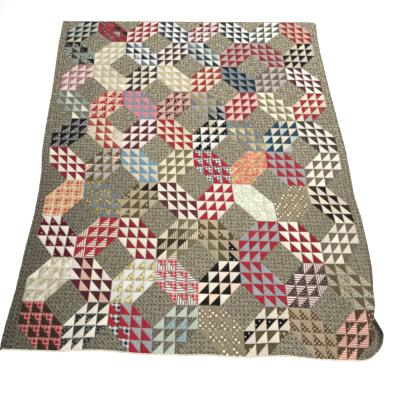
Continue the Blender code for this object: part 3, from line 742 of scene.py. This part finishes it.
def new_piece(name, points, faces, materials, uv, seams, tone, slots=None):
    """A mesh object from arrays, with pattern coordinates, seam distances and tones, and with
    slots where it has more than one material."""
    mesh = bpy.data.meshes.new(name)
    mesh.from_pydata(points.reshape(-1, 3), (), faces)
    for material in materials:
        mesh.materials.append(material)
    if slots is not None:
        mesh.polygons.foreach_set("material_index", slots.astype(np.int32))
    layer = mesh.uv_layers.new(name="Cloth")
    layer.uv.foreach_set("vector", uv.astype(np.float32).ravel())
    layer = mesh.attributes.new("seams", "FLOAT_VECTOR", "CORNER")
    layer.data.foreach_set("vector", seams.astype(np.float32).ravel())
    layer = mesh.attributes.new("tone", "FLOAT", "FACE")
    layer.data.foreach_set("value", tone.astype(np.float32))
    mesh.shade_smooth()
    mesh.validate()
    piece = new_object(name, mesh)
    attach(piece, "root")
    return piece


def flat_corners(across, along, faces):
    """The flat places (across, along) of the corners of a grid's faces."""
    return np.stack(np.broadcast_arrays(across, along), -1).reshape(-1, 2)[faces]


def side_distances(s, t, falling, far_half):
    """Distances in metres to the two short sides and the long one of a sewn triangle, at the
    place s, t (0 to 1 to the right and to the near side) of its unit."""
    u = np.where(falling == far_half, 1.0 - s, s)
    v = np.where(far_half, t, 1.0 - t)
    return np.stack([u, v, (1.0 - u - v) / math.sqrt(2.0)], axis=-1) * UNIT


def block_cottons(row, column):
    """The cotton of each half unit of one block, as names[down, right, half], half 0 being the
    far one. Two opposite corners of a block are background triangles with sides of 2 units."""
    falling = (row + column) % 2 == 1
    choices = [entry.split("|") for entry in BLOCKS[row][column].split()]
    picks = np.random.default_rng((7, row, column))
    names = np.empty((UNITS_PER_BLOCK, UNITS_PER_BLOCK, 2), object)
    for down in range(UNITS_PER_BLOCK):
        for right in range(UNITS_PER_BLOCK):
            across = UNITS_PER_BLOCK - 1 - right if falling else right
            for half in (0, 1):
                names[down, right, half] = picks.choice(choices[half])
                if not 2 <= across + down + half <= 5:
                    names[down, right, half] = BACKGROUND
    if (row, column) in SWAPS:
        half, odd, *units = SWAPS[row, column]
        for down, right in units:
            names[down, right, ("far", "near").index(half)] = odd
    return names


def block_row(row, cottons):
    """One row of blocks: a fine grid whose cells are split along the sewn diagonals, puffed
    between its seams, with one cotton for each patch."""
    units = BLOCKS_ACROSS * UNITS_PER_BLOCK
    columns, rows = units * CELLS + 1, UNITS_PER_BLOCK * CELLS + 1
    across = np.linspace(-HALF_WIDTH, HALF_WIDTH, columns)[:, None]
    along = np.linspace(row * BLOCK, (row + 1) * BLOCK, rows)[None, :]
    names = np.concatenate([block_cottons(row, c) for c in range(BLOCKS_ACROSS)], axis=1)
    falling_unit = (np.arange(units) // UNITS_PER_BLOCK + row) % 2 == 1
    puff_unit = rng.uniform(*PUFFS, names.shape)
    puff_unit = np.where(names == BACKGROUND, puff_unit * GROUND_PUFF, puff_unit)
    turn_unit = rng.integers(0, 4, names.shape) * math.pi / 2
    turn_unit = turn_unit + rng.normal(0, TURN_SPREAD, names.shape)
    tone_unit = rng.normal(0, TONE_SPREAD, names.shape)
    kinds = np.vectorize(lambda name: COTTONS[name][0])(names)
    level = ("-" * UNITS_PER_BLOCK,) * UNITS_PER_BLOCK
    charts = [UPRIGHT.get((row, c), level) for c in range(BLOCKS_ACROSS)]
    lies = [[STRIPE_TURNS[mark] for chart in charts for mark in chart[down]]
            for down in range(UNITS_PER_BLOCK)]
    straight = np.array(lies)[..., None] + rng.normal(0, STRIPE_SPREAD, names.shape)
    turn_unit = np.where(np.isin(kinds, ("stripe", "plaid")), straight, turn_unit)
    turn_unit = np.where(names == BACKGROUND, 0.0, turn_unit)

    # points
    cell_right, cell_down = np.arange(columns) / CELLS, np.arange(rows) / CELLS
    unit_right = np.minimum(cell_right.astype(int), units - 1)
    unit_down = np.minimum(cell_down.astype(int), UNITS_PER_BLOCK - 1)
    falling = falling_unit[unit_right][:, None]
    s, t = (cell_right - unit_right)[:, None], (cell_down - unit_down)[None, :]
    s, t, falling = np.broadcast_arrays(s, t, falling)
    far_half = np.where(falling, 1.0 - s, s) + t <= 1.0
    nearest = side_distances(s, t, falling, far_half).min(axis=-1)
    half = np.where(far_half, 0, 1)
    puff = puff_unit[unit_down[None, :], unit_right[:, None], half]
    points = cloth(across, along, top_height(across, along, puff, nearest))

    # faces, with the unit and half that each lies in
    faces = grid_faces(columns, rows, falling[:-1, :-1])
    i, j = faces // rows, faces % rows
    middle_right, middle_down = i.mean(axis=1) / CELLS, j.mean(axis=1) / CELLS
    right, down = middle_right.astype(int), middle_down.astype(int)
    falls = falling_unit[right]
    inside = np.where(falls, 1.0 - (middle_right - right), middle_right - right)
    far = inside + (middle_down - down) <= 1.0
    half = np.where(far, 0, 1)
    corner_s, corner_t = i / CELLS - right[:, None], j / CELLS - down[:, None]
    seams = side_distances(corner_s, corner_t, falls[:, None], far[:, None])

    # each patch's print has its own turn and place, and each background square its place
    patch = down, right, half
    turn = turn_unit[patch][:, None]
    is_ground = (names[patch] == BACKGROUND)[:, None]
    scrap = np.where(kinds[patch] == "plaid", 0, down + 7 * right + 3 * half)
    shift = np.where(is_ground, 0.0, scrap[:, None] * SCRAP_STEP)
    near_part = down >= UNITS_PER_BLOCK // 2
    square = right // UNITS_PER_BLOCK * 5 + (falls ^ near_part) * 5 + (row + near_part) * 3
    slip = (square % 7)[:, None] * SQUARE_STEP
    u = np.where(is_ground, i / CELLS * UNIT + slip, corner_s * UNIT)
    v = -(j / CELLS + row * UNITS_PER_BLOCK) * UNIT + slip * 1.7
    v = np.where(is_ground, v, -corner_t * UNIT)
    uv = np.stack([
        u * np.cos(turn) - v * np.sin(turn) + shift,
        u * np.sin(turn) + v * np.cos(turn) + shift,
    ], axis=-1)
    used, slots = np.unique(names[patch].astype(str), return_inverse=True)
    # the background's tone holds painted shade on the curled right border
    ground_tone = tone_with_painted_shade(middle_right * UNIT - HALF_WIDTH, row * BLOCK + middle_down * UNIT)
    ground_tone = ground_tone + SQUARE_TONE * ((square * 3 % 7) / 7 - 0.45)
    tone = np.where(is_ground[:, 0], ground_tone, tone_unit[patch])
    piece = new_piece(f"block_row_{row + 1:02d}", points, faces, [cottons[k] for k in used],
                      uv, seams, tone, slots)
    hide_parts("pieced_centre")
    return piece


def to_unit_lines(flat):
    """Distances from flat places to the nearest quilting lines, one unit apart."""
    step = flat / UNIT
    return np.abs(step - np.round(step)) * UNIT


def border_seams(across, along, inner, outer):
    """Distances on a border to its inner edge, the quilting across it and its outer edge."""
    return np.stack([np.abs(across - inner), to_unit_lines(along), np.abs(outer - across)], -1)


def border(place, side, cottons):
    """A side border: a grid that puffs between its two edges and the quilting lines across it."""
    inner, outer = side * HALF_WIDTH, side * (HALF_WIDTH + BORDER_WIDTH)
    rows = BLOCKS_ALONG * UNITS_PER_BLOCK * CELLS + 1
    across = np.sort(np.linspace(inner, outer, BORDER_COLUMNS))[:, None]
    along = np.linspace(0.0, LENGTH, rows)[None, :]
    across, along = np.broadcast_arrays(across, along)
    nearest = border_seams(across, along, inner, outer).min(axis=-1)
    points = cloth(across, along, top_height(across, along, BORDER_PUFF, nearest))
    faces = grid_faces(BORDER_COLUMNS, rows)
    at = flat_corners(across, along, faces)
    seams = border_seams(at[..., 0], at[..., 1], inner, outer)
    middle = at.mean(axis=1)
    piece = new_piece(f"print_border_{place}", points, faces, [cottons[BACKGROUND]],
                      at * (1.0, -1.0), seams, tone_with_painted_shade(middle[:, 0], middle[:, 1]))
    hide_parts(f"border_{place}")
    return piece


def backing(cottons):
    """The back: one plain cloth at the quilt's underside, stitched along the unit lines."""
    edge = HALF_WIDTH + BORDER_WIDTH + BACK_OVERHANG
    across = np.linspace(-edge, edge, BACK_COLUMNS)[:, None]
    along = np.linspace(-BACK_OVERHANG, LENGTH + BACK_OVERHANG, BACK_ROWS)[None, :]
    points = cloth(across, along, np.zeros((BACK_COLUMNS, BACK_ROWS)))
    faces = grid_faces(BACK_COLUMNS, BACK_ROWS)[:, ::-1]
    at = flat_corners(across, along, faces)
    seams = np.concatenate([to_unit_lines(at), np.full(at.shape[:-1] + (1,), UNIT)], -1)
    piece = new_piece("back_cloth", points, faces, [cottons["muslin"]], at, seams,
                      np.zeros(len(faces)))
    return piece


def squared(wave):
    """A sine or cosine bent toward 1 and -1, which makes an oval squarer."""
    return np.sign(wave) * np.abs(wave) ** TAPE_POWER


def binding(place, start, stop, outward, material):
    """A length of folded edge tape: a flat oval profile carried along one edge of the cloth.

    start and stop are the ends of the cloth's edge as (across, along), and outward is the unit
    step off that edge. The oval is BINDING_WIDTH wide, and its hand-sewn edge wanders.
    """
    start, stop, outward = map(np.array, (start, stop, outward))
    ahead = stop - start
    run = np.linalg.norm(ahead)
    steps = int(run / TAPE_STEP) + 1
    t = np.linspace(0.0, 1.0, steps)[:, None]
    turn = np.linspace(0.0, math.tau, TAPE_SIDES + 1)[:-1][None, :]
    wander = TAPE_WANDER * unevenness(t * run, outward @ (3.0, 5.0), 12, 0.012, 0.20)
    thick = np.minimum(1.0 + 0.08 * unevenness(t * run + 9.0, 0.0, 12, 0.009, 0.08), 1.12)
    sideways = squared(np.cos(turn))
    off = BINDING_WIDTH / 2 * (1.0 + sideways) - TAPE_TUCK * (sideways < 0) + wander
    rise = BINDING_THICKNESS / 2 * (1.0 + squared(np.sin(turn)))
    middle = start + ahead * t
    across = middle[:, :1] + outward[0] * off
    along = middle[:, 1:] + outward[1] * off
    points = cloth(across, along, rise * thick + TAPE_LIFT * (rise > 0.001))

    # four-sided faces around the oval and a cap at each end
    i, k = np.meshgrid(np.arange(steps - 1), np.arange(TAPE_SIDES), indexing="ij")
    a, b = i * TAPE_SIDES + k, i * TAPE_SIDES + (k + 1) % TAPE_SIDES
    quads = np.stack([a, b, b + TAPE_SIDES, a + TAPE_SIDES], -1).reshape(-1, 4)
    first, last = range(TAPE_SIDES), range((steps - 1) * TAPE_SIDES, steps * TAPE_SIDES)
    faces = [tuple(q) for q in quads.tolist()] + [tuple(first)[::-1], tuple(last)]
    around = np.linspace(0.0, TAPE_ROUND, TAPE_SIDES + 1)
    uv_run = np.stack([i, i, i + 1, i + 1], -1).reshape(-1, 4) * run / (steps - 1)
    uv_round = np.stack([around[k], around[k + 1], around[k + 1], around[k]], -1).reshape(-1, 4)
    uv = np.stack([uv_run, uv_round], -1)
    if ahead[0] * outward[1] < ahead[1] * outward[0]:
        faces = [f[::-1] for f in faces]
        uv = uv[:, ::-1]
    uv = np.concatenate([uv.reshape(-1, 2), np.zeros((2 * TAPE_SIDES, 2))])
    seams = np.full((len(uv), 3), UNIT)
    # the tape's tone holds the same painted shade on the curled right border
    tone = np.append(tone_with_painted_shade(across, along)[:-1], (0.0, 0.0))
    if material.name != BACKGROUND:
        tone = 0.0 * tone
    piece = new_piece(f"tape_{place}", points, faces, [material], uv, seams, tone)
    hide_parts(f"binding_{place}")
    return piece


def make_quilt():
    """The back with its binding, then the rows of blocks and the two borders on it."""
    sewing = sewing_group()
    cottons = {name: cotton(name, sewing) for name in COTTONS}
    back = backing(cottons)
    edge, end = HALF_WIDTH + BORDER_WIDTH, LENGTH + BINDING_WIDTH
    ground = cottons[BACKGROUND]
    tapes = [binding(*tape) for tape in (
        ("left", (-edge, -BINDING_WIDTH), (-edge, end), (-1.0, 0.0), ground),
        ("right", (edge, -BINDING_WIDTH), (edge, end), (1.0, 0.0), ground),
        ("far", (-edge, 0.0), (edge, 0.0), (0.0, -1.0), ground),
        ("near", (-edge, LENGTH), (edge, LENGTH), (0.0, 1.0), cottons["edge_tape"]),
    )]
    for row in range(BLOCKS_ALONG):
        piece = block_row(row, cottons)
    for place, side in (("left", -1), ("right", 1)):
        piece = border(place, side, cottons)


def make_floor():
    """A plain pale floor: a very large flat square, a little bright of itself."""
    mesh = bpy.data.meshes.new("floor")
    far = FLOOR_HALF
    corners = [(-far, -far), (far, -far), (far, far), (-far, far)]
    mesh.from_pydata([(x, y, -FLOOR_GAP) for x, y in corners], (), [(0, 1, 2, 3)])
    material = bpy.data.materials.new("pale_floor")
    material.use_nodes = True
    n = Nodes(material.node_tree)
    n.fill(n.tree.nodes["Principled BSDF"], {
        "Base Color": (0.93, 0.93, 0.93, 1.0), "Roughness": 0.95, "Specular IOR Level": 0.0,
        "Emission Color": (1.0, 1.0, 1.0, 1.0), "Emission Strength": 0.28,
    })
    mesh.materials.append(material)
    floor = new_object("floor", mesh)


def area_light(name, at, aim, size, watts, colour=(1.0, 1.0, 1.0)):
    """A round lamp aimed at a point."""
    light = bpy.data.lights.new(name, "AREA")
    light.shape = "DISK"
    light.size = size
    light.energy = watts
    light.color = colour
    lamp = new_object(name, light)
    lamp.location = at
    lamp.rotation_euler = (Vector(aim) - Vector(at)).to_track_quat("-Z", "Y").to_euler()


def make_light():
    """A large window beyond the far right corner, a soft ceiling, and pale light all around."""
    area_light("window", at=(1.9, 2.6, 1.6), aim=(0.0, 0.1, 0.0), size=1.8, watts=52.0,
               colour=(1.0, 0.99, 0.97))
    area_light("ceiling", at=(0.5, -0.5, 3.4), aim=(0.1, -0.2, 0.0), size=3.0, watts=84.0)
    world = bpy.data.worlds.new("studio")
    world.use_nodes = True
    n = Nodes(world.node_tree)
    n.fill(n.tree.nodes["Background"], {"Color": (1.0, 1.0, 1.0, 1.0), "Strength": 0.30})
    bpy.context.scene.world = world
    bpy.context.scene.view_settings.view_transform = "Standard"


def make_camera():
    """The camera, aimed from its point and then rolled about its own axis."""
    camera = new_object("camera", bpy.data.cameras.new("camera"))
    camera.data.lens = CAMERA_LENS
    camera.data.sensor_width = 36.0
    camera.data.shift_x = CAMERA_SHIFT
    at = Vector(CAMERA_AT) + Vector(CENTRING)
    aim = Vector(CAMERA_AIM) + Vector(CENTRING)
    turn = (aim - at).to_track_quat("-Z", "Y")
    roll = Quaternion((0.0, 0.0, 1.0), math.radians(CAMERA_ROLL))
    camera.location = at
    camera.rotation_mode = "QUATERNION"
    camera.rotation_quaternion = turn @ roll
    bpy.context.scene.camera = camera


make_camera()
make_floor()
make_light()
make_quilt()
